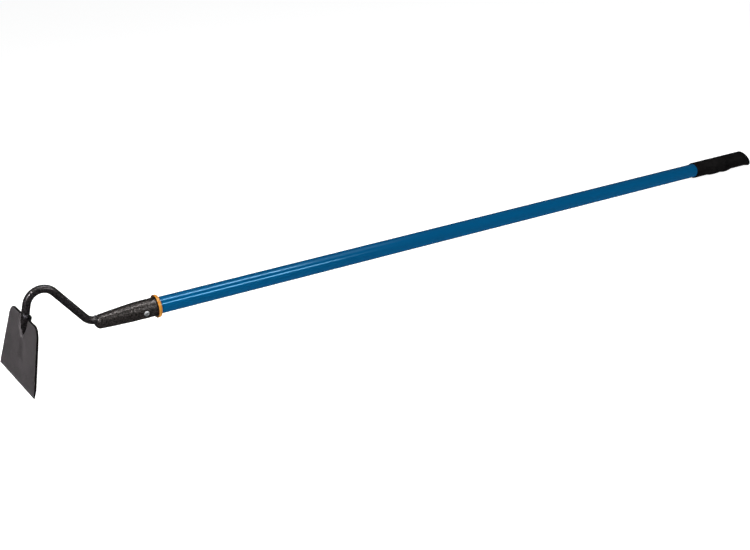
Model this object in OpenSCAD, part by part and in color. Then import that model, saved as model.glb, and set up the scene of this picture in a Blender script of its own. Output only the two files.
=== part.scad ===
// Long-handled grub hoe: a trapezoid blade on a swan-neck rod, a tapered
// ferrule riveted to a steel tube, an orange collar and a moulded hand grip.
// The hoe is drawn along its shaft, with X running from the mouth of the
// ferrule toward the hand grip, and is then laid down on its cutting edge and
// on the toe of its grip. Millimetres, +Z up.

/* [Shaft] */
// Outside diameter of the shaft tube
tube_d = 26; // [22:0.5:32]
// Wall thickness of the shaft tube
tube_wall = 1.2; // [0.8:0.1:2]
// Length of the shaft tube
tube_len = 1282; // [900:2:1500]

/* [Hand grip] */
// Wall thickness of the grip's sleeve
grip_wall = 2; // [1.5:0.1:3]
// Length of the grip from its mouth to its toe
grip_len = 157; // [150:1:180]
// Slant of the grip's end, in degrees from square
end_slant = 33.5; // [10:0.5:40]
// Depth of the grip's toe below the shaft's axis
toe_drop = 17.6; // [16.6:0.2:20]

/* [Ferrule] */
// Length of the ferrule from its mouth to its nose
ferrule_len = 98; // [90:1:120]
// Wall thickness of the ferrule round the tube
ferrule_wall = 1.4; // [1:0.1:2.5]
// Diameter of the ferrule where its nose starts to round
nose_d = 21.8; // [20:0.2:24]
// Depth to which the tube enters the ferrule
tube_seat = 38; // [30:1:45]

/* [Collar] */
// Outside diameter of the collar
collar_d = 35.5; // [33:0.5:42]
// Width of the collar along the shaft
collar_w = 5.5; // [5:0.5:12]

/* [Neck] */
// Diameter of the neck rod
rod_d = 12; // [10:0.5:13]
// Slope of the neck's rising stretch, in degrees
neck_rise = 51.5; // [45:0.5:60]
// Length of the neck's rising stretch
rise_len = 63; // [50:1:90]
// Centre-line radius of the arch over the blade
arch_r = 23.5; // [18:0.5:35]
// Straight stretch between the arch and the blade
drop_len = 16; // [10:0.5:30]

/* [Blade] */
// Width of the blade at its cutting edge
blade_w = 160; // [130:1:200]
// Width of the blade at its top, before its corners are rounded
blade_top_w = 121.5; // [90:0.5:140]
// Height of the blade
blade_h = 96; // [80:0.5:130]
// Thickness of the blade
blade_t = 3; // [2:0.1:4]
// Outward lean of the blade from square to the shaft, in degrees
blade_lean = 14.5; // [0:0.5:20]

/* [Hidden] */
$fn = 64;
tiny = 0.01;
// How far a cutting shape runs past the face that it cuts
over = 1;

// Ferrule: a straight mouth, then a taper whose axis sinks toward the nose
mouth_d = tube_d + 2 * ferrule_wall;
straight_len = 30;
nose_len = 9;
taper_len = ferrule_len - straight_len - nose_len;
taper_start_d = mouth_d - 0.2;
taper_lap = 3;
taper_power = 1.3;
taper_steps = 10;
taper_sink = 1.6;
cavity_wall = 2;
cavity_end = ferrule_len - 22;
nose_weld_r = 2.6;
nose_weld_x = 3 - ferrule_len;
nose_weld_drop = 1;

// Collar: half of it covers the mouth of the ferrule, and a recess in that end
// leaves a lip that stands clear of the ferrule
collar_cover = collar_w / 2;
collar_round = 2.2;
lip_t = 2;
lip_deep = 2;

// Blind rivets through the ferrule and the tube, one on each side and a little
// below the middle
rivet_x = -21.5;
rivet_angle = 10;
rivet_r = 2.4;
rivet_flange_r = 4.1;
rivet_flange_h = 1.5;
rivet_rim_h = 0.6;
rivet_crown_r = 2.5;
rivet_bulb_r = 3.4;
rivet_bulb_h = 3;
rivet_bulb_z = sqrt(pow(tube_d / 2 - tube_wall, 2) - pow(rivet_bulb_r, 2)) - rivet_bulb_h;
pin_r = 1.3;
pin_top_z = mouth_d / 2 + 0.9;
pin_head_r = 2.2;
pin_head_h = 1.5;

// Neck: tail in the ferrule, elbow, rising stretch, arch, drop, tapered tongue
rod_z = 2.4;
tail_len = 40;
elbow_x = 3 - ferrule_len;
elbow_r = 20;
arch_turn = neck_rise + 90 - blade_lean;
rise_x = elbow_x - elbow_r * sin(neck_rise);
rise_z = rod_z + elbow_r * (1 - cos(neck_rise));
arch_x = rise_x - rise_len * cos(neck_rise) - arch_r * sin(neck_rise);
arch_z = rise_z + rise_len * sin(neck_rise) - arch_r * cos(neck_rise);
joint_fat = 0.1;
tongue_len = 28;
groove_len = 34;
tongue_steps = 8;
tongue_power = 2.6;

// Blade: its own frame has its origin on the rod's axis at the top edge, a
// little behind the middle of the plate
rod_sink = 0.9;
face_x = -blade_t / 2 - rod_sink;
corner_r = 20;
side_slope = atan((blade_w - blade_top_w) / 2 / blade_h);
corner_y = blade_w / 2 - (blade_h - corner_r) * tan(side_slope) - corner_r / cos(side_slope);
edge_land = 1;
bevel_h = 12;
// Each weld bead: its centre and its radius, with the visible side's two first
weld_beads = [[[-0.9, -8, 1], 4.4], [[-4.2, -6, 2], 2.8], [[0.4, 6.8, 0.2], 3.2]];
top_x = arch_x - arch_r * cos(blade_lean) - drop_len * sin(blade_lean);
top_z = arch_z + arch_r * sin(blade_lean) - drop_len * cos(blade_lean);
edge_x = top_x + face_x * cos(blade_lean) - blade_h * sin(blade_lean);
edge_z = top_z - face_x * sin(blade_lean) - blade_h * cos(blade_lean);

// Grip: round sleeve, two finger ridges, slanting end and a low toe
grip_d = tube_d + 2 * grip_wall;
tube_end_x = tube_len - tube_seat;
grip_cover = 111;
grip_x = tube_end_x - grip_cover;
toe_x = grip_x + grip_len;
toe_len = 14;
// Each ridge: its middle from the mouth, its length and its height
ridges = [[57, 37, 2.4], [87, 25, 3]];
ridge_steps = 12;

// Rest: the cutting edge and the toe both touch the floor
rest_tilt = atan2(-toe_drop - edge_z, toe_x - edge_x);
rest_lift = edge_x * sin(rest_tilt) - edge_z * cos(rest_tilt);
middle_x = ((edge_x + toe_x) * cos(rest_tilt) + (edge_z - toe_drop) * sin(rest_tilt)) / 2;
edge_tan = tan(blade_lean + rest_tilt);

// Lays a shape that is drawn along the shaft down on the floor
module at_rest() {
    translate([-middle_x, 0, rest_lift]) rotate([0, rest_tilt, 0]) children();
}

// A rod or bore along X, from x0 to x1
module along_x(x0, x1, d0, d1) {
    translate([x0, 0, 0]) rotate([0, 90, 0]) cylinder(h = x1 - x0, d1 = d0, d2 = d1);
}

// Turns a profile of [radius, x] points about the X axis
module spin_x(points) {
    rotate([0, 90, 0]) rotate_extrude() polygon(points);
}

// Moves a shape from the blade's own frame to the shaft's frame
module on_blade() {
    translate([top_x, 0, top_z]) rotate([0, blade_lean, 0]) children();
}

// A bend of the rod in the XZ plane, from angle a0 through turn, with a ball
// at each end that joins it to the straight stretches
module rod_bend(x, z, r, a0, turn) {
    translate([x, 0, z]) rotate([90, 0, 0]) rotate([0, 0, a0]) {
        rotate_extrude(angle = turn) translate([r, 0]) circle(d = rod_d);
        for (a = [0, turn]) rotate([0, 0, a]) translate([r, 0]) sphere(d = rod_d + joint_fat);
    }
}

// A blunt point that hangs from the origin, of radius r at its top
module blunt_point(r, length) {
    rotate_extrude() polygon(concat([[0, 0]], [
        for (i = [0:tongue_steps])
            [r * (1 - pow(i / tongue_steps, tongue_power)), -length * i / tongue_steps]
    ]));
}

// The straight end of the neck, with the tongue that lies in the blade's groove
module rod_end() {
    cylinder(h = drop_len, d = rod_d);
    blunt_point(rod_d / 2, tongue_len);
}

// The level end of the neck, which runs out past the elbow's start by extra
module neck_tail(extra) {
    translate([0, 0, rod_z]) along_x(elbow_x - extra, elbow_x + tail_len, rod_d, rod_d);
}

module neck_shape() {
    neck_tail(0);
    rod_bend(elbow_x, rod_z + elbow_r, elbow_r, -90 - neck_rise, neck_rise);
    translate([rise_x, 0, rise_z]) rotate([0, neck_rise - 90, 0])
        cylinder(h = rise_len, d = rod_d);
    rod_bend(arch_x, arch_z, arch_r, 90 - neck_rise, arch_turn);
    on_blade() rod_end();
}

// Side view of the plate: outer face, level land, long bevel on the inner face
module plate_section() {
    polygon([
        [face_x, 0],
        [face_x, -blade_h],
        [face_x + edge_land, edge_land * edge_tan - blade_h],
        [face_x + blade_t, bevel_h - blade_h],
        [face_x + blade_t, 0]
    ]);
}

// Front view of the plate: a trapezoid with two round top corners
module plate_front(depth) {
    tangent = [corner_y + corner_r * cos(side_slope), corner_r * sin(side_slope) - corner_r];
    linear_extrude(depth) polygon([
        [-blade_w / 2, -blade_h],
        [blade_w / 2, -blade_h],
        tangent,
        [corner_y, 0],
        [-corner_y, 0],
        [-tangent[0], tangent[1]]
    ]);
    for (side = [-1, 1])
        translate([side * corner_y, -corner_r, 0]) cylinder(h = depth, r = corner_r);
}

module plate() {
    intersection() {
        rotate([90, 0, 0]) translate([0, 0, -blade_w / 2]) linear_extrude(blade_w) plate_section();
        translate([face_x, 0, 0]) rotate([90, 0, 90]) plate_front(blade_t);
    }
}

// The rounded back that the pressed groove raises on the inner face
module groove_back() {
    intersection() {
        blunt_point(rod_d / 2 + blade_t, groove_len);
        translate([face_x, -rod_d, -blade_h]) cube([2 * rod_d, 2 * rod_d, blade_h]);
    }
}

module blade_shape() {
    difference() {
        union() {
            plate();
            groove_back();
        }
        rod_end();
    }
}

module blade() {
    color([0.29, 0.28, 0.28]) at_rest() on_blade() blade_shape();
}

module neck_rod() {
    color([0.27, 0.26, 0.26]) at_rest() neck_shape();
}

// Short lumpy beads beside the rod at the blade's top edge
module blade_welds() {
    color([0.35, 0.34, 0.35]) at_rest() on_blade() difference() {
        for (bead = weld_beads) translate(bead[0]) sphere(r = bead[1]);
        blade_shape();
        rod_end();
    }
}

// Radius of the ferrule's taper, from 0 at its start to 1 at the nose
function taper_r(part) = taper_start_d / 2 - (taper_start_d - nose_d) / 2 * pow(part, taper_power);

// Outside of the ferrule as [radius, x] from the start of the taper to the nose
function taper_points() = [
    for (i = [0:taper_steps]) [taper_r(i / taper_steps), -taper_len * i / taper_steps]
];
function nose_points() = [
    for (a = [10:10:90]) [nose_d / 2 * cos(a), -taper_len - nose_len * sin(a)]
];

module on_taper() {
    translate([-straight_len, 0, 0]) rotate([0, -atan(taper_sink / taper_len), 0]) children();
}

module ferrule_outside() {
    along_x(-straight_len, 0, mouth_d, mouth_d);
    on_taper() spin_x(concat([[0, taper_lap], [taper_r(0), taper_lap]],
        taper_points(), nose_points()));
}

// Places a rivet part, drawn along +Z from the shaft's axis, on both sides
module at_rivets() {
    for (turn = [90 + rivet_angle, -90 - rivet_angle])
        translate([rivet_x, 0, 0]) rotate([turn, 0, 0]) children();
}

module rivet_holes() {
    at_rivets() cylinder(h = mouth_d, r = rivet_r);
}

module ferrule() {
    cavity_d = 2 * (taper_r((cavity_end - straight_len) / taper_len) - cavity_wall);
    color([0.30, 0.28, 0.27]) at_rest() difference() {
        ferrule_outside();
        along_x(-tube_seat, over, tube_d, tube_d);
        on_taper() along_x(straight_len - cavity_end, straight_len - tube_seat + over,
            cavity_d, tube_d - 2 * cavity_wall);
        neck_tail(2 * elbow_r);
        rivet_holes();
    }
}

// The bead round the rod where it leaves the nose
module ferrule_weld() {
    color([0.33, 0.31, 0.30]) at_rest() difference() {
        translate([nose_weld_x, 0, rod_z - nose_weld_drop]) rotate([0, 90, 0])
            rotate_extrude() translate([rod_d / 2 + nose_weld_r / 3, 0]) circle(r = nose_weld_r);
        neck_shape();
        ferrule_outside();
    }
}

// A blind rivet's sleeve: flange outside the ferrule, bulb inside the tube
module rivet_sleeve() {
    seat_r = mouth_d / 2;
    difference() {
        union() {
            translate([0, 0, seat_r]) cylinder(h = rivet_rim_h, r = rivet_flange_r);
            translate([0, 0, seat_r + rivet_rim_h])
                cylinder(h = rivet_flange_h - rivet_rim_h, r1 = rivet_flange_r, r2 = rivet_crown_r);
            translate([0, 0, rivet_bulb_z]) cylinder(h = seat_r - rivet_bulb_z, r = rivet_r);
            translate([0, 0, rivet_bulb_z]) cylinder(h = rivet_bulb_h, r = rivet_bulb_r);
        }
        cylinder(h = 2 * seat_r, r = pin_r);
    }
}

module rivet_sleeves() {
    color([0.72, 0.73, 0.75]) at_rest() at_rivets() rivet_sleeve();
}

// The broken-off pull stems that stay in the rivets
module rivet_pins() {
    color([0.5, 0.5, 0.52]) at_rest() at_rivets() {
        translate([0, 0, rivet_bulb_z - pin_head_h]) cylinder(h = pin_head_h, r = pin_head_r);
        translate([0, 0, rivet_bulb_z - tiny])
            cylinder(h = pin_top_z - rivet_bulb_z, r = pin_r);
    }
}

// Cross-section of the collar: round on the outside, recessed behind its lip,
// and stepped in its bore
function collar_points() = concat(
    [[tube_d / 2, 0], [tube_d / 2, collar_w - collar_cover]],
    [for (a = [90:-15:0]) [collar_d / 2 - collar_round * (1 - cos(a)),
        collar_w - collar_cover - collar_round * (1 - sin(a))]],
    [for (a = [0:15:90]) [collar_d / 2 - lip_t * (1 - cos(a)), lip_t * (1 - sin(a)) - collar_cover]],
    [[collar_d / 2 - lip_t, lip_deep - collar_cover], [mouth_d / 2, lip_deep - collar_cover]],
    [[mouth_d / 2, 0]]
);

module collar() {
    color([0.85, 0.60, 0.22]) at_rest() spin_x(collar_points());
}

module shaft_tube() {
    bore_d = tube_d - 2 * tube_wall;
    color([0.02, 0.32, 0.50]) at_rest() difference() {
        along_x(-tube_seat, tube_end_x, tube_d, tube_d);
        along_x(-tube_seat - over, tube_end_x + over, bore_d, bore_d);
        rivet_holes();
    }
}

// A barrel that shows only below the sleeve, where it is one finger ridge
module finger_ridge(middle, length, height) {
    barrel = [
        for (i = [0:ridge_steps])
            [grip_d / 2 - height * pow(2 * i / ridge_steps - 1, 2),
                length * (i / ridge_steps - 0.5)]
    ];
    translate([grip_x + middle, 0, -height])
        spin_x(concat([[0, -length / 2]], barrel, [[0, length / 2]]));
}

// The flare under the end of the grip, deep enough to be trimmed at the floor
module toe_flare() {
    sink = toe_drop - grip_d / 2 + over;
    translate([0, 0, -sink])
        along_x(toe_x - toe_len, toe_x + over, grip_d - 2 * sink, grip_d);
}

// Everything beyond the slanting end of the grip
module beyond_end() {
    translate([toe_x, 0, -toe_drop]) rotate([0, -end_slant, 0])
        translate([0, -grip_d, -grip_d]) cube([2 * grip_d, 2 * grip_d, 3 * grip_d]);
}

module grip_shape() {
    difference() {
        union() {
            along_x(grip_x, toe_x, grip_d, grip_d);
            for (ridge = ridges) finger_ridge(ridge[0], ridge[1], ridge[2]);
            toe_flare();
        }
        along_x(grip_x - over, tube_end_x, tube_d, tube_d);
        beyond_end();
    }
}

// The toe is trimmed level where it stands on the floor
module hand_grip() {
    color([0.07, 0.07, 0.07]) difference() {
        at_rest() grip_shape();
        translate([0, -grip_d, -grip_d]) cube([tube_len, 2 * grip_d, grip_d]);
    }
}

blade();
neck_rod();
blade_welds();
ferrule();
ferrule_weld();
rivet_sleeves();
rivet_pins();
collar();
shaft_tube();
hand_grip();
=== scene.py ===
"""Long-handled grub hoe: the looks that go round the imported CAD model.

Every piece is drawn in millimetres in the shaft's own frame, as in the CAD source: the origin
is the middle of the collar, X runs up the shaft toward the hand grip and Z points up. The
frame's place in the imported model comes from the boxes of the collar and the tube.
"""

import math

import bmesh
import bpy
from mathutils import Matrix, Vector, noise


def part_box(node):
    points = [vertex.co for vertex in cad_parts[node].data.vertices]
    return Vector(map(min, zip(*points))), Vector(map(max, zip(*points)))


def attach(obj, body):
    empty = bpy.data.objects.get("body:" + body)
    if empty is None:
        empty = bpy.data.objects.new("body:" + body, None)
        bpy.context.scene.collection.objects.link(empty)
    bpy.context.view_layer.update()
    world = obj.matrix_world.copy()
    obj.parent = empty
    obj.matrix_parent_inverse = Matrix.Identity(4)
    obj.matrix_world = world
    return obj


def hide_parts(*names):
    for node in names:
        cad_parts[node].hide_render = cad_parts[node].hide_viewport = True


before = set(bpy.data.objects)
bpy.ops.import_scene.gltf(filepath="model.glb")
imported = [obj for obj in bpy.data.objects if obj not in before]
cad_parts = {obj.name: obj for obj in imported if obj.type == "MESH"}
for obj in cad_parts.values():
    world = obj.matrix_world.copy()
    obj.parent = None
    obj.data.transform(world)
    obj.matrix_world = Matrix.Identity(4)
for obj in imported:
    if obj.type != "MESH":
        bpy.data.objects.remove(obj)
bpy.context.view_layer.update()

MM = 0.001
BODY = "root"
# Points in each ring of a round piece
AROUND = 96
# Degrees between two faces from which their edge stays sharp
SHARP_ANGLE = 40
# Gap in millimetres between a fitted piece and what it sits on
CLEARANCE = 0.02


def box_size(node):
    """A CAD node's size along each axis, in millimetres."""
    low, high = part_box(node)
    return (high - low) / MM


def box_middle(node):
    """The middle of a CAD node's box, in metres."""
    low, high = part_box(node)
    return (low + high) / 2


# Sizes in millimetres, as in the CAD source unless a comment says otherwise
TUBE_R = box_size("shaft_tube").y / 2
TUBE_WALL = 1.2
TUBE_SEAT = 38
TUBE_LEN = 1282

COLLAR_R = box_size("collar").y / 2
COLLAR_W = 5.5
COLLAR_ROUND = 2.2
COLLAR_RECESS = 2
# The collar's lip is 2 mm thick in the CAD source and is drawn thinner here
COLLAR_LIP_T = 1.4

FERRULE_LEN = 98
FERRULE_WALL = 1.4
MOUTH_R = TUBE_R + FERRULE_WALL
STRAIGHT_LEN = 30
NOSE_LEN = 9
NOSE_R = 10.9
TAPER_LEN = FERRULE_LEN - STRAIGHT_LEN - NOSE_LEN
TAPER_POWER = 1.3
TAPER_SINK = 1.6
CAVITY_END = FERRULE_LEN - 22
CAVITY_NOSE_R = 8.5
CAVITY_MOUTH_R = 10.9

ROD_R = 6
ROD_Z = 2.4
TAIL_LEN = 40
ELBOW_X = 3 - FERRULE_LEN
ELBOW_R = 20
NECK_RISE = 51.5
RISE_LEN = 63
ARCH_R = 23.5
DROP_LEN = 16
TONGUE_LEN = 28
TONGUE_POWER = 2.6

BLADE_T = 3
ROD_SINK = 0.9
BLADE_H = 96
BLADE_LEAN = 14.5
BLADE_W = box_size("blade").y
BLADE_TOP_W = 121.5
CORNER_R = 20

RIVET_X = -21.5
RIVET_ANGLE = 10
RIVET_R = 2.4
RIVET_FLANGE_R = 4.1
RIVET_FLANGE_H = 1.5

GRIP_LEN = 157
GRIP_COVER = 111
GRIP_R = 15
GRIP_X = TUBE_LEN - TUBE_SEAT - GRIP_COVER
TOE_DROP = 17.6
END_SLANT = 33.5


def shaft_frame():
    """Where the shaft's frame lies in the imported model."""
    origin = box_middle("collar")
    x_axis = (box_middle("shaft_tube") - origin).normalized()
    y_axis = Vector((0, 1, 0))
    z_axis = x_axis.cross(y_axis)
    rows = Matrix((x_axis, y_axis, z_axis)).transposed().to_4x4()
    return Matrix.Translation(origin) @ rows


SHAFT = shaft_frame()


# ---------------------------------------------------------------- materials


class Shader:
    """A material's node tree, with a short call for each kind of node."""

    def __init__(self, name, **constants):
        """Starts a material. Each constant sets the surface's input of that name."""
        self.material = bpy.data.materials.new(name)
        self.material.use_nodes = True
        self.nodes = self.material.node_tree.nodes
        self.links = self.material.node_tree.links
        self.surface = self.nodes["Principled BSDF"]
        for key, value in constants.items():
            self.surface.inputs[key.replace("_", " ")].default_value = value
        self.place = self.nodes.new("ShaderNodeTexCoord").outputs["Object"]

    def feed(self, node, name, value):
        """Links a socket to a node's input, or sets the input to a value."""
        if isinstance(value, bpy.types.NodeSocket):
            self.links.new(value, node.inputs[name])
        else:
            node.inputs[name].default_value = value

    def stretched(self, scale):
        """The piece's own coordinates, scaled along each axis."""
        mapping = self.nodes.new("ShaderNodeMapping")
        self.feed(mapping, "Vector", self.place)
        mapping.inputs["Scale"].default_value = scale
        return mapping.outputs["Vector"]

    def noise(self, scale, detail=2.0, rough=0.5, place=None):
        """Soft noise with scale lumps to the metre."""
        texture = self.nodes.new("ShaderNodeTexNoise")
        self.feed(texture, "Vector", place or self.place)
        self.feed(texture, "Scale", scale)
        self.feed(texture, "Detail", detail)
        self.feed(texture, "Roughness", rough)
        return texture.outputs["Fac"]

    def cells(self, scale, feature="F1"):
        """Distance from the middle of the nearest cell, with scale cells to the metre."""
        texture = self.nodes.new("ShaderNodeTexVoronoi")
        texture.feature = feature
        self.feed(texture, "Vector", self.place)
        self.feed(texture, "Scale", scale)
        return texture.outputs["Distance"]

    def spread(self, value, low, high, to_low=0.0, to_high=1.0):
        """Maps low..high onto to_low..to_high, held at the ends."""
        node = self.nodes.new("ShaderNodeMapRange")
        self.feed(node, "Value", value)
        self.feed(node, "From Min", low)
        self.feed(node, "From Max", high)
        self.feed(node, "To Min", to_low)
        self.feed(node, "To Max", to_high)
        return node.outputs["Result"]

    def blend(self, factor, first, second):
        """A colour between two colours."""
        node = self.nodes.new("ShaderNodeMix")
        node.data_type = "RGBA"
        self.links.new(factor, node.inputs[0])
        for index, value in ((6, first), (7, second)):
            if isinstance(value, bpy.types.NodeSocket):
                self.links.new(value, node.inputs[index])
            else:
                node.inputs[index].default_value = (*value, 1.0)
        return node.outputs[2]

    def sum(self, first, second, weight=1.0):
        """first plus weight times second."""
        node = self.nodes.new("ShaderNodeMath")
        node.operation = "MULTIPLY_ADD"
        self.feed(node, 0, second)
        self.feed(node, 1, weight)
        self.feed(node, 2, first)
        return node.outputs["Value"]

    def mark(self, name):
        """A value that the mesh holds for each of its points."""
        node = self.nodes.new("ShaderNodeAttribute")
        node.attribute_name = name
        return node.outputs["Fac"]

    def bump(self, height, distance):
        """Gives the surface and its coat a relief, distance metres deep where height is 1."""
        node = self.nodes.new("ShaderNodeBump")
        self.feed(node, "Height", height)
        self.feed(node, "Distance", distance)
        self.feed(node, "Strength", 1.0)
        self.links.new(node.outputs["Normal"], self.surface.inputs["Normal"])
        self.links.new(node.outputs["Normal"], self.surface.inputs["Coat Normal"])

    def colour(self, socket):
        """Sets the surface's colour."""
        self.links.new(socket, self.surface.inputs["Base Color"])

    def rough(self, socket):
        """Sets the surface's roughness."""
        self.links.new(socket, self.surface.inputs["Roughness"])


def shaft_paint():
    """Blue gloss powder coat with a faint orange peel."""
    shader = Shader("shaft_paint", Specular_IOR_Level=0.5)
    shader.surface.inputs["Specular Tint"].default_value = (0.25, 0.65, 1.0, 1.0)
    clouds = shader.noise(14, detail=3, place=shader.stretched((0.25, 1, 1)))
    shader.colour(shader.blend(clouds, (0.0004, 0.053, 0.138), (0.0006, 0.064, 0.162)))
    shader.rough(shader.spread(shader.noise(120, detail=3), 0.3, 0.7, 0.12, 0.15))
    shader.bump(shader.noise(420, detail=1.5), 0.00002)
    return shader.material


def hammer_paint(name, metal, coat, dark, light, gloss):
    """Dark grey hammertone: small dished cells, mottled from dark to light under a tinted gloss."""
    shader = Shader(name, Metallic=metal, Specular_IOR_Level=0.2,
                    Coat_Weight=coat, Coat_Roughness=0.14)
    shader.surface.inputs["Specular Tint"].default_value = (0.05, 0.05, 0.05, 1.0)
    shader.surface.inputs["Coat Tint"].default_value = (*gloss, 1.0)
    wobble = shader.noise(90, detail=3)
    cells = shader.cells(400, feature="SMOOTH_F1")
    mottle = shader.spread(shader.noise(470, detail=4, rough=0.6), 0.38, 0.66)
    shader.colour(shader.blend(mottle, dark, light))
    shader.rough(shader.spread(wobble, 0.3, 0.7, 0.26, 0.40))
    shader.bump(shader.sum(cells, shader.noise(650, detail=2), 0.35), 0.00055)
    return shader.material


def weld_paint(name, light):
    """The same grey paint, pulled thin and cooler over rough weld metal."""
    shader = Shader(name, Metallic=0.45)
    patches = shader.spread(shader.noise(520, detail=3), 0.42, 0.60)
    shader.colour(shader.blend(patches, (0.003, 0.0027, 0.0033), light))
    shader.rough(shader.spread(patches, 0.0, 1.0, 0.5, 0.3))
    shader.bump(shader.noise(620, detail=3), 0.0012)
    return shader.material


def blade_steel():
    """Pressed plate under thin satin charcoal lacquer, paler in a worn band just inside its outline and
    along the groove's far lip as a painted highlight, and near black in a band round its outline that is
    painted shade.
    """
    shader = Shader("blade_steel", Metallic=0.4, Specular_IOR_Level=0.2)
    shader.surface.inputs["Specular Tint"].default_value = (0.3, 0.3, 0.3, 1.0)
    clouds = shader.spread(shader.noise(60, detail=6, rough=0.7), 0.32, 0.68)
    grain = shader.noise(850, detail=3)
    face = shader.blend(clouds, (0.054, 0.0490, 0.0510), (0.098, 0.0890, 0.0925))
    rim = shader.mark("rim")
    # A worn pale band just inside the outline; along the groove's far lip the same pale is a painted
    # highlight
    paler = shader.blend(shader.spread(rim, 0.02, 0.35), face, (0.118, 0.108, 0.112))
    # Painted shade: a near black band round the plate's outline
    shader.colour(shader.blend(shader.spread(rim, 0.42, 0.62), paler, (0.0030, 0.0026, 0.0026)))
    shader.rough(shader.spread(shader.sum(clouds, grain, 0.4), 0.4, 1.0, 0.40, 0.55))
    shader.bump(grain, 0.00008)
    return shader.material


def collar_plastic():
    """Amber moulded plastic with a soft gloss, dark brown where the mesh marks it: painted shade in the
    recess and round the inside of the lip.
    """
    shader = Shader("collar_plastic", Specular_IOR_Level=0.4, Subsurface_Weight=0.15)
    shader.surface.inputs["Subsurface Radius"].default_value = (0.003, 0.0015, 0.0005)
    clouds = shader.noise(160, detail=3)
    amber = shader.blend(clouds, (0.38, 0.148, 0.010), (0.47, 0.195, 0.016))
    # Painted shade: the marked recess and inner lip turn dark brown, broken up by noise
    painted_shade = shader.sum(shader.mark("rim"), shader.noise(420, detail=3), 0.35)
    shader.colour(shader.blend(shader.spread(painted_shade, 0.35, 0.75), amber, (0.10, 0.032, 0.003)))
    shader.rough(shader.spread(shader.noise(500, detail=2), 0.3, 0.7, 0.28, 0.40))
    shader.bump(shader.noise(1100, detail=2), 0.00003)
    return shader.material


def rivet_aluminium():
    """Soft aluminium, lightly scuffed by the riveting tool."""
    shader = Shader("rivet_aluminium", Metallic=1.0)
    scuffs = shader.noise(1500, detail=3, place=shader.stretched((1, 0.4, 1)))
    shader.colour(shader.blend(scuffs, (0.66, 0.67, 0.69), (0.90, 0.91, 0.93)))
    shader.rough(shader.spread(scuffs, 0.35, 0.65, 0.42, 0.58))
    shader.bump(scuffs, 0.00004)
    return shader.material


def rivet_steel():
    """The torn end of a steel pull stem."""
    shader = Shader("rivet_steel", Metallic=1.0)
    grain = shader.noise(2400, detail=3)
    shader.colour(shader.blend(grain, (0.20, 0.20, 0.21), (0.42, 0.42, 0.43)))
    shader.rough(shader.spread(grain, 0.35, 0.65, 0.40, 0.60))
    shader.bump(grain, 0.0002)
    return shader.material


def grip_rubber():
    """Matt black moulded rubber with a fine pebble grain."""
    shader = Shader("grip_rubber", Specular_IOR_Level=0.1)
    wear = shader.sum(shader.noise(45, detail=4, rough=0.6), shader.noise(260, detail=3), 0.8)
    dust = shader.spread(wear, 0.65, 1.15)
    pebbles = shader.cells(1100)
    shader.colour(shader.blend(dust, (0.0008, 0.0007, 0.0007), (0.0068, 0.0060, 0.0060)))
    shader.rough(shader.spread(pebbles, 0.0, 0.8, 0.50, 0.68))
    shader.bump(pebbles, 0.00018)
    return shader.material


# ------------------------------------------------------------------- meshes


def ring(x, z, slope, radius, offsets=None):
    """Points round (x, z), on a circle that faces along the slope in the XZ plane.

    offsets gives a distance to add to the radius for each point's angle from the top.
    """
    along = Vector((math.cos(slope), 0, math.sin(slope)))
    up = Vector((-along.z, 0, along.x))
    across = Vector((0, 1, 0))
    points = []
    for step in range(AROUND):
        angle = 2 * math.pi * step / AROUND
        reach = radius + (offsets(angle) if offsets else 0)
        points.append(Vector((x, 0, z)) + reach * (math.cos(angle) * up + math.sin(angle) * across))
    return points


def skin(rings, closed=False):
    """Points and faces of a surface over the rings. A ring of one point is a pole."""
    points = []
    starts = []
    for members in rings:
        starts.append(len(points))
        points.extend(members)
    faces = []
    for index in range(len(rings) if closed else len(rings) - 1):
        following = (index + 1) % len(rings)
        here, there = starts[index], starts[following]
        for step in range(AROUND):
            after = (step + 1) % AROUND
            if len(rings[index]) == 1:
                faces.append((here, there + after, there + step))
            elif len(rings[following]) == 1:
                faces.append((here + step, here + after, there))
            else:
                faces.append((here + step, here + after, there + after, there + step))
    return points, faces


def lathe(profile, centre=lambda x: 0.0):
    """Rings for a profile of (x, radius) points. centre gives the height of the axis at x."""
    rings = []
    for x, radius in profile:
        z = centre(x)
        rings.append([Vector((x, 0, z))] if radius == 0 else ring(x, z, 0, radius))
    return rings


def arc(x, radius, size, start, stop, steps=6):
    """A rounded corner of a lathe profile: points on a circle round (x, radius), in degrees."""
    points = []
    for step in range(steps + 1):
        angle = math.radians(start + (stop - start) * step / steps)
        points.append((x + size * math.cos(angle), radius + size * math.sin(angle)))
    return points


def make_piece(name, points, faces, material, node, place=SHAFT, painted_light_and_wear=None):
    """A smooth-shaded piece that stands for a CAD node.

    Its last argument gives each point a mark from 0 to 1 that its material reads: on the blade, how near
    the rim the point is, which gives painted shade at the outline and a worn pale band just inside it, or
    how strongly the groove's lip gets a painted highlight; on the collar, whether the point gets painted
    shade.
    """
    mesh = bpy.data.meshes.new(name)
    mesh.from_pydata([Vector(point) * MM for point in points], [], faces)
    if painted_light_and_wear:
        mesh.attributes.new("rim", "FLOAT", "POINT").data.foreach_set("value", painted_light_and_wear)
    work = bmesh.new()
    work.from_mesh(mesh)
    bmesh.ops.remove_doubles(work, verts=work.verts, dist=1e-7)
    bmesh.ops.recalc_face_normals(work, faces=work.faces)
    work.to_mesh(mesh)
    work.free()
    mesh.transform(place)
    mesh.shade_smooth()
    mesh.set_sharp_from_angle(angle=math.radians(SHARP_ANGLE))
    mesh.materials.append(material)
    piece = bpy.data.objects.new(name, mesh)
    bpy.context.scene.collection.objects.link(piece)
    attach(piece, BODY)
    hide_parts(node)
    return piece


TUBE_STEPS = 48


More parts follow.
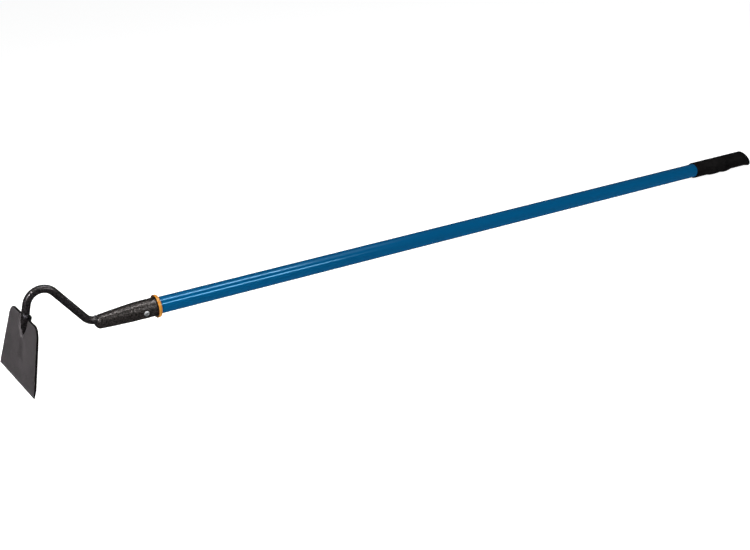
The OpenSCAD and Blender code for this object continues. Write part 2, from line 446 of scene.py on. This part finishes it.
def make_shaft_tube(material):
    """The tube, outside and bore."""
    outer_x = TUBE_LEN - TUBE_SEAT
    bore = TUBE_R - TUBE_WALL
    stations = [-TUBE_SEAT + (outer_x + TUBE_SEAT) * step / TUBE_STEPS
                for step in range(TUBE_STEPS + 1)]
    profile = [(x, TUBE_R) for x in stations] + [(x, bore) for x in reversed(stations)]
    points, faces = skin(lathe(profile), closed=True)
    make_piece("shaft_tube_skin", points, faces, material, "shaft_tube")


# The collar is painted dark brown, as painted shade, from this point of its lip's round, 15 degrees short
# of its tip
LIP_UNSHADED_POINTS = 5


def make_collar(material):
    """The ring, round outside, with a lip that stands clear of the ferrule round a recess painted dark
    brown as shade.
    """
    half = COLLAR_W / 2
    lip_x = COLLAR_LIP_T / 2 - half
    lip_r = COLLAR_R - COLLAR_LIP_T / 2
    floor_x = COLLAR_RECESS - half
    seat_r = MOUTH_R + CLEARANCE
    bore_r = TUBE_R + CLEARANCE
    profile = [(half, bore_r)]
    profile += arc(half - COLLAR_ROUND, COLLAR_R - COLLAR_ROUND, COLLAR_ROUND, 0, 90, 8)
    shade_start = len(profile) + LIP_UNSHADED_POINTS
    profile += arc(lip_x, lip_r, COLLAR_LIP_T / 2, 90, 270, 12)
    profile += [(floor_x, COLLAR_R - COLLAR_LIP_T), (floor_x, seat_r), (0, seat_r), (0, bore_r)]
    points, faces = skin(lathe(profile), closed=True)
    # Each ring from the lip's inner round on is marked 1, for painted shade in the recess
    painted_shade = []
    for index in range(len(profile)):
        painted_shade += [0.0 if index < shade_start else 1.0] * AROUND
    make_piece("collar_ring", points, faces, material, "collar", painted_light_and_wear=painted_shade)


def ferrule_radius(x):
    """Outside radius of the ferrule at x, from its mouth at 0 to the start of its nose."""
    part = max(0.0, (-x - STRAIGHT_LEN) / TAPER_LEN)
    return MOUTH_R - (MOUTH_R - NOSE_R) * part**TAPER_POWER


def ferrule_centre(x):
    """Height of the ferrule's axis at x: level along the mouth, then sinking."""
    return -max(0.0, -x - STRAIGHT_LEN) * TAPER_SINK / TAPER_LEN


def make_ferrule(material):
    """The socket: straight mouth, sinking taper, round nose, and the bore and cavity inside."""
    shell = [(-x, ferrule_radius(-x)) for x in range(0, STRAIGHT_LEN + TAPER_LEN + 1)]
    nose_x = -STRAIGHT_LEN - TAPER_LEN
    for angle in range(10, 91, 10):
        turn = math.radians(angle)
        shell.append((nose_x - NOSE_LEN * math.sin(turn), NOSE_R * math.cos(turn)))
    shell[-1] = (shell[-1][0], 0)
    bore = [(-CAVITY_END, 0), (-CAVITY_END, CAVITY_NOSE_R), (-TUBE_SEAT, CAVITY_MOUTH_R),
            (-TUBE_SEAT, TUBE_R), (0, TUBE_R)]
    points, faces = skin(lathe(bore + shell, ferrule_centre))
    make_piece("ferrule_shell", points, faces, material, "ferrule")


TAIL_STRAIGHT = 20
ELBOW_STEPS = 12
ARCH_STEPS = 40
TONGUE_STEPS = 24
TONGUE_TIP_R = 0.2
# The bevel at the hidden end of the rod's tail
TAIL_BEVEL = 0.5


def neck_path():
    """Points (x, z, slope) of the neck's centre line, from its tail to the blade's top edge."""
    rise = math.radians(NECK_RISE)
    path = [(ELBOW_X + TAIL_LEN, ROD_Z, math.pi), (ELBOW_X + TAIL_STRAIGHT, ROD_Z, math.pi)]
    for step in range(ELBOW_STEPS + 1):
        turn = rise * step / ELBOW_STEPS
        path.append((ELBOW_X - ELBOW_R * math.sin(turn),
                     ROD_Z + ELBOW_R * (1 - math.cos(turn)), math.pi - turn))
    x, z, slope = path[-1]
    for part in (0.25, 0.5, 0.75, 1.0):
        path.append((x - RISE_LEN * part * math.cos(rise), z + RISE_LEN * part * math.sin(rise), slope))
    x, z, slope = path[-1]
    centre_x = x - ARCH_R * math.sin(rise)
    centre_z = z - ARCH_R * math.cos(rise)
    arch_turn = math.radians(NECK_RISE + 90 - BLADE_LEAN)
    for step in range(1, ARCH_STEPS + 1):
        turn = math.pi / 2 - rise + arch_turn * step / ARCH_STEPS
        path.append((centre_x + ARCH_R * math.cos(turn), centre_z + ARCH_R * math.sin(turn),
                     turn + math.pi / 2))
    x, z, slope = path[-1]
    for part in (0.5, 1.0):
        path.append((x + DROP_LEN * part * math.cos(slope), z + DROP_LEN * part * math.sin(slope), slope))
    return path


NECK = neck_path()
TOP_X, TOP_Z, DROP_SLOPE = NECK[-1]


def blade_frame():
    """The blade's own frame: its origin is on the rod's axis at the top edge, Z up the plate."""
    lean = Matrix.Rotation(math.radians(BLADE_LEAN), 4, "Y")
    return SHAFT @ Matrix.Translation(Vector((TOP_X, 0, TOP_Z)) * MM) @ lean


def tongue_radius(depth):
    """Radius of the rod's tongue at a depth below the blade's top edge."""
    part = min(1.0, max(0.0, depth / TONGUE_LEN))
    return max(TONGUE_TIP_R, ROD_R * (1 - part**TONGUE_POWER))


def make_neck(material):
    """The bent rod, from its tail in the ferrule to the point of its tongue."""
    rings = [[Vector((NECK[0][0] + TAIL_BEVEL, 0, NECK[0][1]))]]
    rings.append(ring(*NECK[0], ROD_R - TAIL_BEVEL))
    rings += [ring(x, z, slope, ROD_R) for x, z, slope in NECK]
    along = Vector((math.cos(DROP_SLOPE), 0, math.sin(DROP_SLOPE)))
    top = Vector((TOP_X, 0, TOP_Z))
    for step in range(1, TONGUE_STEPS + 1):
        depth = TONGUE_LEN * step / TONGUE_STEPS
        spot = top + depth * along
        rings.append(ring(spot.x, spot.z, DROP_SLOPE, tongue_radius(depth)))
    rings.append([top + TONGUE_LEN * along])
    points, faces = skin(rings)
    make_piece("neck_rod_bent", points, faces, material, "neck_rod")


# -------------------------------------------------------------------- blade

EDGE_R = 0.9
# The cutting edge is rounded over this many times less than the other edges
CUTTING_EDGE_KEEN = 2
# Largest part of half the plate's thickness that a rounded edge may take
MOST_FALL = 0.9
BEVEL_H = 12
EDGE_LAND = 1
# Width of the dark band of painted shade along the outline
RIM_W = 3.7

# The pressed groove: its half width at the top, and how bluntly it ends
GROOVE_LEN = 34
GROOVE_HALF = 20
GROOVE_END_POWER = 0.7
# The painted highlight, a pale band along one lip: its place across the groove, half width and strength
LIT_LIP_PLACE = 0.72
LIT_LIP_HALF = 3.5
LIT_LIP_MARK = 0.35

# The shallow dish round the groove
DISH_LEN = 40
DISH_HALF = 24
DISH_DEEP = 1.6
DISH_TAPER = 0.6

# Steps of the plate's grid between its rounded edges
ROW_STEPS = 90
COLUMN_STEPS = 112


def smooth(value):
    """Eases from 0 to 1 as value goes from 0 to 1."""
    value = min(1.0, max(0.0, value))
    return value * value * (3 - 2 * value)


def half_width(height):
    """Half the blade's width at a height from -BLADE_H at the cutting edge to 0 at the top."""
    slope = (BLADE_W - BLADE_TOP_W) / 2 / BLADE_H
    side = math.atan(slope)
    corner_y = BLADE_W / 2 - (BLADE_H - CORNER_R) * slope - CORNER_R / math.cos(side)
    tangent_z = CORNER_R * math.sin(side) - CORNER_R
    if height <= tangent_z:
        return BLADE_W / 2 - (height + BLADE_H) * slope
    return corner_y + math.sqrt(max(0.0, CORNER_R**2 - (height + CORNER_R) ** 2))


def bell(y, half):
    """A smooth hump that is 1 in the middle and 0 at half the width."""
    return (1 - (y / half) ** 2) ** 2 if abs(y) < half else 0.0


def groove_depth(y, height):
    """How far the plate sinks at a point: a shallow dish, and a groove that wraps the tongue."""
    depth = 0.0
    along = -height / DISH_LEN
    if along < 1:
        depth = DISH_DEEP * (1 - along**2) ** 2 * bell(y, DISH_HALF * (1 - along) ** DISH_TAPER)
    if -height < GROOVE_LEN:
        floor = BLADE_T / 2 + ROD_SINK + tongue_radius(-height) - depth
        fade = smooth((GROOVE_LEN + height) / (GROOVE_LEN - TONGUE_LEN))
        depth += floor * fade * bell(y, groove_half(height))
    return depth


def groove_half(height):
    """Half the groove's width at a height, down to a round end."""
    return GROOVE_HALF * max(0.0, 1 - (height / GROOVE_LEN) ** 2) ** GROOVE_END_POWER


def lip_highlight(y, height):
    """How strongly the groove's far lip is painted pale as a highlight, as a rim mark."""
    half = groove_half(height)
    if half == 0:
        return 0.0
    return LIT_LIP_MARK * smooth(half / LIT_LIP_HALF) * bell(y - LIT_LIP_PLACE * half, LIT_LIP_HALF)


def rounding(distance):
    """How far a face falls back at a distance from the plate's outline."""
    if distance >= EDGE_R:
        return 0.0
    return EDGE_R - math.sqrt(EDGE_R**2 - (EDGE_R - distance) ** 2)


def packed(length, middle_steps):
    """Distances from 0 to length that are packed close at both ends."""
    rim = [EDGE_R * part for part in (0, 0.08, 0.25, 0.55, 1.0)]
    inner = length - 2 * EDGE_R
    inside = [EDGE_R + inner * step / middle_steps for step in range(1, middle_steps)]
    return rim + inside + [length - distance for distance in reversed(rim)]


def plate_grid(rows):
    """Points of the plate's front and back in rows of one length, and a rim mark for each."""
    front, back, painted_light_and_wear = [], [], []
    front_x = -BLADE_T / 2 - ROD_SINK
    for height in rows:
        half = half_width(height)
        thin = max(0.0, 1 - (height + BLADE_H) / BEVEL_H)
        back_x = front_x + BLADE_T - (BLADE_T - EDGE_LAND) * thin
        room = (back_x - front_x) / 2
        for spot in packed(2 * half, COLUMN_STEPS):
            y = spot - half
            edge = min(spot, 2 * half - spot, -height, (height + BLADE_H) * CUTTING_EDGE_KEEN)
            rim_gap = min(spot, 2 * half - spot, -height, height + BLADE_H)
            # The mark gives painted shade at the outline, a worn pale band just inside it, and a painted
            # highlight along the groove's lip
            painted_light_and_wear.append(max(1 - smooth(rim_gap / RIM_W), lip_highlight(y, height)))
            groove = groove_depth(y, height)
            fall = min(rounding(max(0.0, edge)), room * MOST_FALL)
            front.append(Vector((front_x + groove + fall, y, height)))
            back.append(Vector((back_x + groove - fall, y, height)))
    return front, back, painted_light_and_wear


def plate_faces(row_count, count):
    """Faces over two grids of row_count rows of count points, and round their outline."""
    faces = []
    offset = row_count * count
    last = row_count - 1
    for row in range(last):
        for column in range(count - 1):
            a = row * count + column
            b = a + 1
            c = a + count + 1
            d = a + count
            faces.append((a, d, c, b))
            faces.append((offset + a, offset + b, offset + c, offset + d))
    for row in range(last):
        for a, b in ((row * count, (row + 1) * count),
                     ((row + 2) * count - 1, (row + 1) * count - 1)):
            faces.append((a, offset + a, offset + b, b))
    for column in range(count - 1):
        for a, b in ((column + 1, column), (last * count + column, last * count + column + 1)):
            faces.append((a, offset + a, offset + b, b))
    return faces


def make_blade(material):
    """The pressed plate. Its cutting edge is trimmed level with the floor."""
    rows = [height - BLADE_H for height in packed(BLADE_H, ROW_STEPS)]
    front, back, painted_light_and_wear = plate_grid(rows)
    faces = plate_faces(len(rows), len(front) // len(rows))
    place = blade_frame()
    floor_row = place.inverted()
    points = []
    for point in front + back:
        world = place @ (point * MM)
        if world.z < 0:
            world.z = 0
            point = (floor_row @ world) / MM
        points.append(point)
    make_piece("blade_plate", points, faces, material, "blade", place, painted_light_and_wear + painted_light_and_wear)


# -------------------------------------------------------------------- welds


# Each lump of the blade's beads: its centre and its half sizes in the blade's frame. The last
# one is on the far side of the rod.
BLADE_LUMPS = (
    ((-0.7, -7.2, 0.4), (3.2, 2.3, 2.4)),
    ((-2.2, -9.0, 0.0), (2.3, 2.0, 1.8)),
    ((-3.7, -6.5, 1.3), (1.8, 1.7, 1.9)),
    ((-4.3, -5.3, 3.0), (1.2, 1.4, 1.4)),
    ((1.3, 6.6, 0.0), (2.4, 2.2, 2.2)),
)
LUMP_SWELL = 0.16
LUMP_GRAIN = 2.2
LUMP_SEED_STEP = 7.3
FUSE_VOXEL = 0.35
FUSE_SMOOTHINGS = 3

# The bead round the rod at the ferrule's nose
NOSE_BEAD_X = 3.2 - FERRULE_LEN
NOSE_BEAD_R = 2.3
NOSE_BEAD_STRETCH = 1.2
NOSE_BEAD_DROP = 0.6
NOSE_BEAD_SINK = 0.4
NOSE_BEAD_STEPS = 16
NOSE_BEAD_MEAN = 0.75
RIPPLES = 19
RIPPLE_HEIGHT = 0.10
RIPPLE_NOISE = 0.14


def lump(work, centre, size, seed):
    """Adds a rough lump of weld to a bmesh."""
    ball = bmesh.ops.create_icosphere(work, subdivisions=4, radius=1)
    for vert in ball["verts"]:
        swell = 1 + LUMP_SWELL * noise.noise(vert.co * LUMP_GRAIN + Vector((seed, 0, 0)))
        vert.co = Vector(centre) + Vector(
            vert.co[axis] * size[axis] * swell for axis in range(3))


def fuse(work):
    """Melts the overlapping lumps of a bmesh into one skin. Returns its points and faces."""
    mesh = bpy.data.meshes.new("lumps")
    for vert in work.verts:
        vert.co *= MM
    work.to_mesh(mesh)
    work.free()
    holder = bpy.data.objects.new("lumps", mesh)
    bpy.context.scene.collection.objects.link(holder)
    remesh = holder.modifiers.new("melt", "REMESH")
    remesh.mode = "VOXEL"
    remesh.voxel_size = FUSE_VOXEL * MM
    relax = holder.modifiers.new("relax", "SMOOTH")
    relax.iterations = FUSE_SMOOTHINGS
    relax.factor = 0.5
    seen = holder.evaluated_get(bpy.context.evaluated_depsgraph_get())
    result = seen.to_mesh()
    points = [vert.co / MM for vert in result.vertices]
    faces = [tuple(face.vertices) for face in result.polygons]
    seen.to_mesh_clear()
    bpy.data.objects.remove(holder)
    return points, faces


def make_blade_welds(material):
    """Lumpy beads on either side of the rod at the blade's top edge."""
    work = bmesh.new()
    for index, (centre, size) in enumerate(BLADE_LUMPS):
        lump(work, centre, size, index * LUMP_SEED_STEP)
    points, faces = fuse(work)
    make_piece("blade_weld_beads", points, faces, material, "blade_welds", blade_frame())


def rippled(lift):
    """The height of a bead at each angle round the rod, where its even height would be lift."""
    def height(angle):
        """The height at one angle."""
        rough = noise.noise(Vector((3 * angle, lift, 2)))
        wave = RIPPLE_HEIGHT * math.sin(RIPPLES * angle) + RIPPLE_NOISE * rough
        return lift * (NOSE_BEAD_MEAN + wave)
    return height


def make_ferrule_weld(material):
    """A rippled bead round the rod where it leaves the ferrule's nose."""
    rings = []
    for step in range(NOSE_BEAD_STEPS + 1):
        turn = math.pi * step / NOSE_BEAD_STEPS
        x = NOSE_BEAD_X + NOSE_BEAD_R * NOSE_BEAD_STRETCH * math.cos(turn)
        rings.append(ring(x, ROD_Z - NOSE_BEAD_DROP, 0, ROD_R - NOSE_BEAD_SINK,
                          rippled(NOSE_BEAD_R * math.sin(turn))))
    points, faces = skin(rings, closed=True)
    make_piece("ferrule_weld_bead", points, faces, material, "ferrule_weld")


# ------------------------------------------------------------------- rivets


# How far the rivets are drawn below the ferrule's outside; the other heights are above it
RIVET_DEPTH = 4
DOME_STEPS = 8
DOME_R_LOSS = 2.2
DOME_BASE = 0.35
FLANGE_SINK = 0.3
PIN_HOLE_R = 1.35
PIN_HOLE_RIM_R = 1.55
PIN_HOLE_RIM_DROP = 0.1
PIN_R = 1.3
PIN_SHOULDER = 0.5
# The torn end of the pin, as (radius, height)
PIN_END = ((1.1, 0.85), (0.6, 0.7), (0, 0.75))


def rivet_frame(side):
    """The frame of a rivet: its Z axis points straight out of the ferrule."""
    turn = Matrix.Rotation(math.radians(side * (90 + RIVET_ANGLE)), 4, "X")
    return SHAFT @ Matrix.Translation((RIVET_X * MM, 0, 0)) @ turn


def spun(profile):
    """Rings about Z for a profile of (radius, z) points."""
    rings = []
    for radius, z in profile:
        if radius == 0:
            rings.append([Vector((0, 0, z))])
            continue
        rings.append([Vector((radius * math.cos(2 * math.pi * step / AROUND),
                              radius * math.sin(2 * math.pi * step / AROUND), z))
                      for step in range(AROUND)])
    return rings


def merged(parts):
    """Joins (points, faces) pairs into one."""
    points, faces = [], []
    for more_points, more_faces in parts:
        start = len(points)
        points += more_points
        faces += [tuple(start + index for index in face) for face in more_faces]
    return points, faces


def rivet_part(profile):
    """The same part of both rivets, in the shaft's frame."""
    parts = []
    for side in (1, -1):
        points, faces = skin(spun(profile), closed=profile[0][0] != 0)
        place = SHAFT.inverted() @ rivet_frame(side)
        parts.append(([(place @ (point * MM)) / MM for point in points], faces))
    return merged(parts)


def make_rivets(aluminium, steel):
    """The blind rivets' domed heads, each with the torn end of its pull stem in a dimple."""
    seat = MOUTH_R
    bottom = seat - RIVET_DEPTH
    shoulder = seat + PIN_SHOULDER
    rim = seat + RIVET_FLANGE_H - PIN_HOLE_RIM_DROP
    flange = seat - FLANGE_SINK
    dome = []
    for step in range(DOME_STEPS + 1):
        part = step / DOME_STEPS
        rise = (RIVET_FLANGE_H - DOME_BASE) * math.sin(math.pi / 2 * part)
        dome.append((RIVET_FLANGE_R - DOME_R_LOSS * part, seat + DOME_BASE + rise))
    sleeve = [(RIVET_R, bottom), (RIVET_R, flange), (RIVET_FLANGE_R, flange)]
    sleeve += dome + [(PIN_HOLE_RIM_R, rim), (PIN_HOLE_R, shoulder), (PIN_HOLE_R, bottom)]
    points, faces = rivet_part(sleeve)
    make_piece("rivet_heads", points, faces, aluminium, "rivet_sleeves")
    stem = [(0, bottom), (PIN_R, bottom), (PIN_R, shoulder)]
    stem += [(radius, seat + height) for radius, height in PIN_END]
    points, faces = rivet_part(stem)
    make_piece("rivet_stems", points, faces, steel, "rivet_pins")


# --------------------------------------------------------------------- grip

# Each finger ridge: its middle from the grip's mouth, its length and its height
RIDGES = ((57, 37, 2.4), (87, 25, 3.0))
RIDGE_POWER = 0.55
TOE_LEN = 14
TOE_POWER = 1.3
# How the ridges and the toe fade up the sides, and how much they widen the grip
SIDE_FADE = 1.4
SIDE_SWELL = 0.35
# Length over which the cross-sections lean back to the slant of the end
LEAN_LEN = 45
GRIP_STEPS = 150
GRIP_RIM = 1.2
GRIP_RIM_STEPS = 8
# Stations round the 1 mm edge of the mouth, and insets of the rings on the flat end
MOUTH_STATIONS = (0.0, 0.15, 0.5, 1.0)
END_INSETS = (5, 9, 13)


def grip_drop(x):
    """How far the underside of the grip hangs below its round sleeve at x from its mouth."""
    drop = 0.0
    for middle, length, height in RIDGES:
        part = 2 * (x - middle) / length
        if abs(part) < 1:
            drop = max(drop, height * (1 - part**2) ** RIDGE_POWER)
    toe = (x - (GRIP_LEN - TOE_LEN)) / TOE_LEN
    if toe > 0:
        drop = max(drop, (TOE_DROP - GRIP_R) * toe**TOE_POWER)
    return drop


def grip_ring(x, inset=0.0):
    """One cross-section of the grip; near its end it leans back with the slanting end."""
    lean = smooth((x - (GRIP_LEN - LEAN_LEN)) / LEAN_LEN)
    slope = math.tan(math.radians(END_SLANT)) * lean
    drop = grip_drop(x)
    points = []
    for step in range(AROUND):
        angle = 2 * math.pi * step / AROUND
        low = max(0.0, -math.cos(angle))
        reach = GRIP_R - inset + drop * low**SIDE_FADE
        z = reach * math.cos(angle)
        y = (GRIP_R - inset + SIDE_SWELL * drop * low) * math.sin(angle)
        points.append(Vector((GRIP_X + x - slope * (z + TOE_DROP), y, z)))
    return points


def make_grip(material):
    """The moulding: its blind bore, its sleeve with ridges and toe, and its slanting end."""
    bore_r = TUBE_R + CLEARANCE
    bore_end = GRIP_X + GRIP_COVER
    stations = list(MOUTH_STATIONS)
    stations += [1 + (GRIP_LEN - GRIP_RIM - 1) * step / GRIP_STEPS for step in range(1, GRIP_STEPS + 1)]
    rings = [[Vector((bore_end, 0, 0))], ring(bore_end, 0, 0, bore_r), ring(GRIP_X, 0, 0, bore_r)]
    for x in stations:
        inset = 1.0 - math.sqrt(max(0.0, 1 - (1 - min(x, 1.0)) ** 2))
        rings.append(grip_ring(x, inset))
    for step in range(1, GRIP_RIM_STEPS + 1):
        turn = math.pi / 2 * step / GRIP_RIM_STEPS
        rings.append(grip_ring(GRIP_LEN - GRIP_RIM + GRIP_RIM * math.sin(turn),
                               GRIP_RIM * (1 - math.cos(turn))))
    for inset in END_INSETS:
        rings.append(grip_ring(GRIP_LEN, inset))
    rings.append([sum(rings[-1], Vector()) / AROUND])
    points, faces = skin(rings)
    make_piece("hand_grip_moulding", points, faces, material, "hand_grip")


# ---------------------------------------------------------------- the stage

# Lengths of the stage and the camera's aim are in metres, the lens and sensor in millimetres
CAMERA_AIM = Vector((-0.1463, 0, -0.0011))
CAMERA_DISTANCE = 2.0158
CAMERA_AZIMUTH = 31.373
CAMERA_ELEVATION = 21.084
CAMERA_ROLL = 4.031
CAMERA_LENS = 57.881
CAMERA_SENSOR = 36
FLOOR_HALF = 30
# The floor lies this far below the object, which keeps their faces apart
FLOOR_DROP = 0.0004
FLOOR_GLOW = 0.92
BACKDROP_R = 28
BACKDROP_H = 20
WORLD_COLOUR = (0.92, 0.96, 1.0, 1.0)
WORLD_STRENGTH = 0.06


def make_camera():
    """The camera, turned round its aim by azimuth, elevation and roll."""
    data = bpy.data.cameras.new("camera")
    data.lens = CAMERA_LENS
    data.sensor_width = CAMERA_SENSOR
    camera = bpy.data.objects.new("camera", data)
    bpy.context.scene.collection.objects.link(camera)
    azimuth = math.radians(CAMERA_AZIMUTH)
    elevation = math.radians(CAMERA_ELEVATION)
    view = Vector((math.sin(azimuth) * math.cos(elevation),
                   math.cos(azimuth) * math.cos(elevation), -math.sin(elevation)))
    turn = view.to_track_quat("-Z", "Y").to_matrix().to_4x4()
    roll = Matrix.Rotation(math.radians(-CAMERA_ROLL), 4, "Z")
    camera.matrix_world = Matrix.Translation(CAMERA_AIM - CAMERA_DISTANCE * view) @ turn @ roll
    bpy.context.scene.camera = camera


def make_floor():
    """A plain white floor that glows a little and stays out of reflections."""
    mesh = bpy.data.meshes.new("floor")
    half = FLOOR_HALF
    mesh.from_pydata([(-half, -half, 0), (half, -half, 0), (half, half, 0), (-half, half, 0)],
                     [], [(0, 1, 2, 3)])
    shader = Shader("floor_white", Roughness=0.9, Specular_IOR_Level=0.0, Emission_Strength=FLOOR_GLOW)
    shader.surface.inputs["Emission Color"].default_value = (1, 1, 1, 1)
    tone = shader.noise(0.6, detail=2)
    shader.colour(shader.blend(tone, (0.52, 0.52, 0.52), (0.56, 0.56, 0.56)))
    mesh.materials.append(shader.material)
    floor = bpy.data.objects.new("floor", mesh)
    floor.location.z = -FLOOR_DROP
    floor.visible_glossy = False
    bpy.context.scene.collection.objects.link(floor)


def make_backdrop():
    """A white wall round the floor that neither lights nor reflects, so no view has a horizon."""
    wall = bmesh.new()
    bmesh.ops.create_circle(wall, segments=48, radius=BACKDROP_R)
    raised = bmesh.ops.extrude_edge_only(wall, edges=list(wall.edges))["geom"]
    for item in raised:
        if isinstance(item, bmesh.types.BMVert):
            item.co.z = BACKDROP_H
    mesh = bpy.data.meshes.new("backdrop")
    wall.to_mesh(mesh)
    wall.free()
    shader = Shader("backdrop_white", Roughness=0.9, Specular_IOR_Level=0.0, Emission_Strength=1.0)
    shader.surface.inputs["Emission Color"].default_value = (1, 1, 1, 1)
    mesh.materials.append(shader.material)
    backdrop = bpy.data.objects.new("backdrop", mesh)
    backdrop.visible_diffuse = False
    backdrop.visible_glossy = False
    bpy.context.scene.collection.objects.link(backdrop)


def direction(azimuth, elevation):
    """The unit vector toward an azimuth, clockwise from the camera's side (-Y), and an elevation."""
    turn = math.radians(azimuth)
    rise = math.radians(elevation)
    return Vector((-math.sin(turn) * math.cos(rise), -math.cos(turn) * math.cos(rise), math.sin(rise)))


def make_softbox(name, aim, azimuth, elevation, distance, size, radiance, spread=180):
    """A rectangular light that faces its aim, with its width level and its spread in degrees."""
    data = bpy.data.lights.new(name, "AREA")
    data.shape = "RECTANGLE"
    data.size, data.size_y = size
    data.energy = radiance * math.pi * data.size * data.size_y
    data.spread = math.radians(spread)
    light = bpy.data.objects.new(name, data)
    bpy.context.scene.collection.objects.link(light)
    outward = direction(azimuth, elevation)
    light.rotation_euler = outward.to_track_quat("Z", "Y").to_euler()
    light.location = Vector(aim) + distance * outward


def make_lights():
    """A dim sky, a key and a side light for the head, and strips for the tube's highlights."""
    world = bpy.data.worlds.new("studio")
    world.use_nodes = True
    background = world.node_tree.nodes["Background"]
    background.inputs["Color"].default_value = WORLD_COLOUR
    background.inputs["Strength"].default_value = WORLD_STRENGTH
    bpy.context.scene.world = world
    make_softbox("key_light", aim=(-0.72, 0, 0.10), azimuth=58, elevation=42, distance=1.2,
                 size=(0.3, 0.3), radiance=2.4, spread=30)
    make_softbox("side_light", aim=(-0.65, 0, 0.08), azimuth=62, elevation=35, distance=2.0,
                 size=(0.9, 0.9), radiance=2.65)
    make_softbox("top_light", aim=(0.1, 0, 0.0), azimuth=0, elevation=88, distance=2.4,
                 size=(2.6, 1.8), radiance=0.98)
    make_softbox("front_strip", aim=(0.315, 0, 0.05), azimuth=0, elevation=29, distance=1.6,
                 size=(0.67, 0.17), radiance=34)
    make_softbox("top_strip", aim=(-0.05, 0, 0.05), azimuth=0, elevation=85, distance=1.2,
                 size=(0.8, 0.11), radiance=38)


def build():
    """Makes every piece with its material, then the stage."""
    warm_grey = hammer_paint("hammer_paint", metal=0.65, coat=0.22,
                             dark=(0.0105, 0.0094, 0.0092), light=(0.064, 0.0575, 0.0555),
                             gloss=(1.0, 0.93, 0.88))
    cool_grey = hammer_paint("hammer_paint_cool", metal=0.82, coat=0.34,
                             dark=(0.0110, 0.0100, 0.0106), light=(0.070, 0.0635, 0.0655),
                             gloss=(1.0, 0.94, 0.93))
    make_shaft_tube(shaft_paint())
    make_collar(collar_plastic())
    make_ferrule(warm_grey)
    make_neck(cool_grey)
    make_blade(blade_steel())
    make_blade_welds(weld_paint("weld_paint", (0.065, 0.0610, 0.0710)))
    make_ferrule_weld(weld_paint("weld_paint_dark", (0.020, 0.0180, 0.0190)))
    make_rivets(rivet_aluminium(), rivet_steel())
    make_grip(grip_rubber())
    make_floor()
    make_backdrop()
    make_lights()
    make_camera()
    bpy.context.scene.view_settings.view_transform = "Standard"


build()
